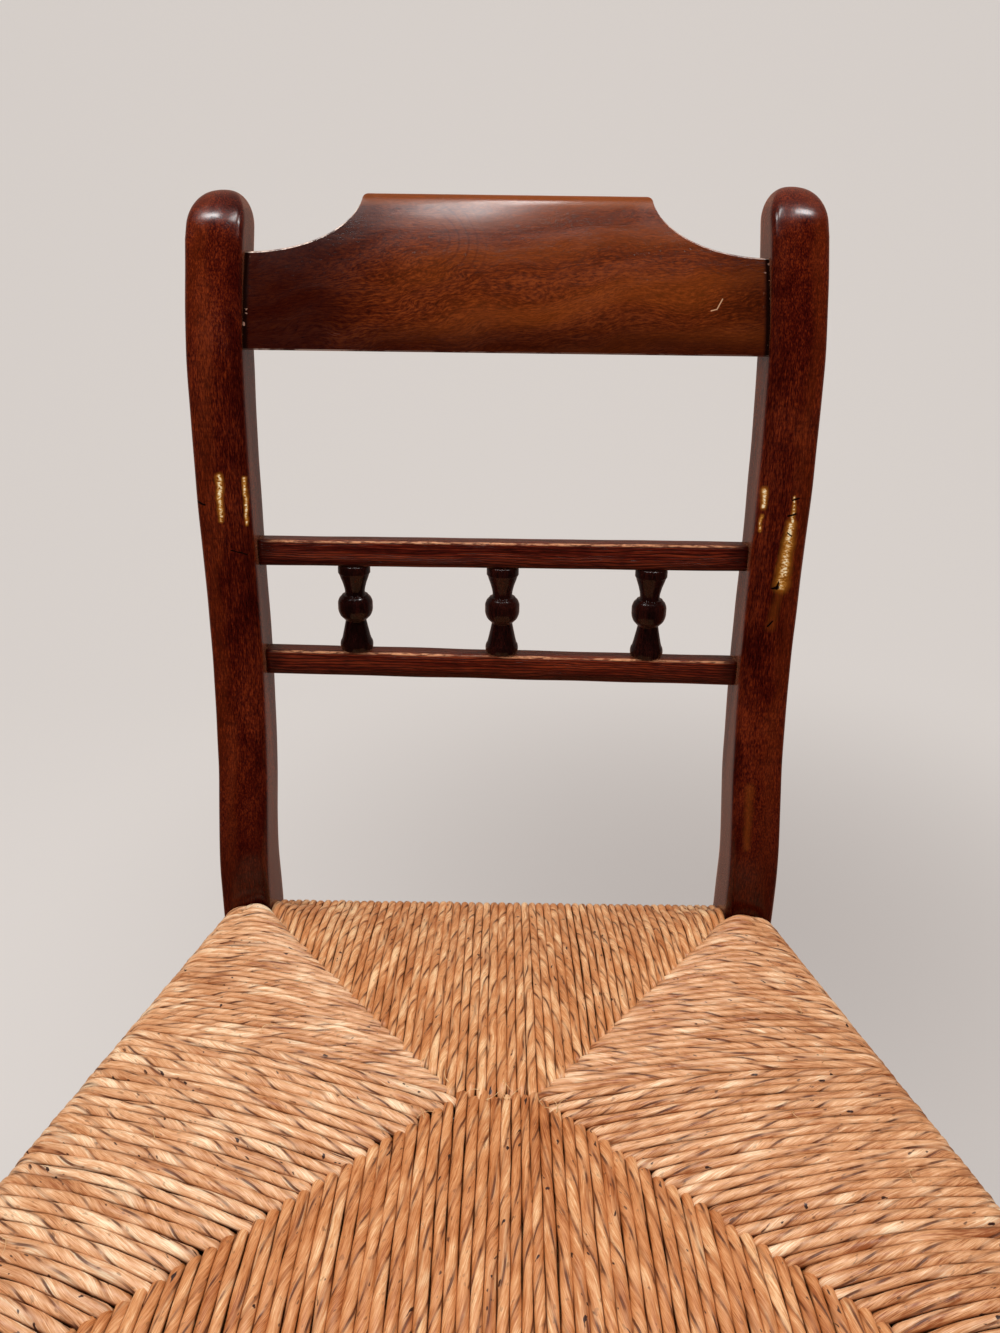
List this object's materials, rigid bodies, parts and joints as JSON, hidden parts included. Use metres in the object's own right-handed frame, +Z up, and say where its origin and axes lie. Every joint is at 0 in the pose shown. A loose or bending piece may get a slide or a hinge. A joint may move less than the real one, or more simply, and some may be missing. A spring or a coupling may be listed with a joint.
{
  "type": "spindle back chair",
  "caption": "Side chair with a scrolled crest rail, a low row of turned spindles between two thin back rails, a woven rush seat and turned front legs.",
  "frame": {"origin": "middle of the chair's footprint on the floor", "axes": "+Z up; the front of the seat faces -Y and the back leans towards +Y; +X is the right as seen from the front"},
  "size_m": [0.4962, 0.4628, 0.8472],
  "materials": {
    "post_mahogany": "polished",
    "crest_mahogany": "polished",
    "rail_ash": "polished",
    "spindle_wood": "gloss",
    "seat_rail_wood": "unfinished",
    "rush": "woven, slightly glossy",
    "loose_rush": "matt"
  },
  "bodies": {
    "root": {"rear_post_left": "post_mahogany", "rear_post_right": "post_mahogany", "crest_rail": "crest_mahogany", "upper_back_rail": "rail_ash", "lower_back_rail": "rail_ash", "spindle_left": "spindle_wood", "spindle_centre": "spindle_wood", "spindle_right": "spindle_wood", "front_leg_left": "post_mahogany", "front_leg_right": "post_mahogany", "seat_rail_front": "seat_rail_wood", "seat_rail_back": "seat_rail_wood", "seat_rail_left": "seat_rail_wood", "seat_rail_right": "seat_rail_wood", "rush_seat": "rush", "stuffing_front": "loose_rush", "stuffing_back": "loose_rush", "stuffing_left": "loose_rush", "stuffing_right": "loose_rush", "front_stretcher_upper": "post_mahogany", "front_stretcher_lower": "post_mahogany", "side_stretcher_upper_left": "post_mahogany", "side_stretcher_upper_right": "post_mahogany", "side_stretcher_lower_left": "post_mahogany", "side_stretcher_lower_right": "post_mahogany", "rear_stretcher": "post_mahogany"}
  },
  "joints": []
}
